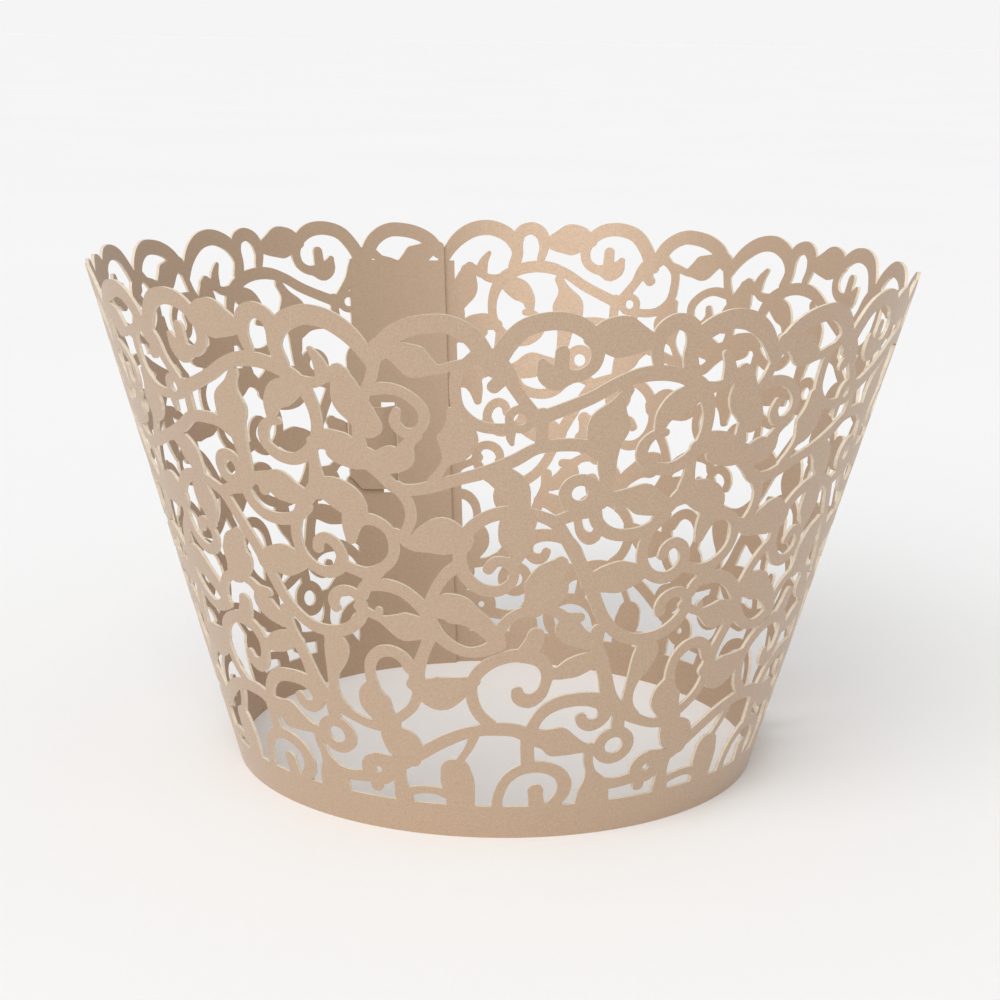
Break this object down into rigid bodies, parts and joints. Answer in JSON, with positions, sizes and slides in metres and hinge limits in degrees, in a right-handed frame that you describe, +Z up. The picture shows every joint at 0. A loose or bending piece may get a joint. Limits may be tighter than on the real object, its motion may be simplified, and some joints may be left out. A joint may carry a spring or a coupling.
{
  "type": "cupcake wrapper",
  "caption": "Decorative card sleeve for a cupcake: a flared ring, open top and bottom, cut into vine filigree and closed by a tab in a slit.",
  "frame": {"origin": "middle of the ring that the bottom edge stands on", "axes": "+Z up the axis of the cup; -Y to the front, +Y to the seam at the back"},
  "size_m": [0.0764, 0.0767, 0.0477],
  "materials": {
    "card": "pearl card, soft sheen, pale cut edges"
  },
  "bodies": {
    "root": {"wrapper_sheet": "card"}
  },
  "joints": []
}
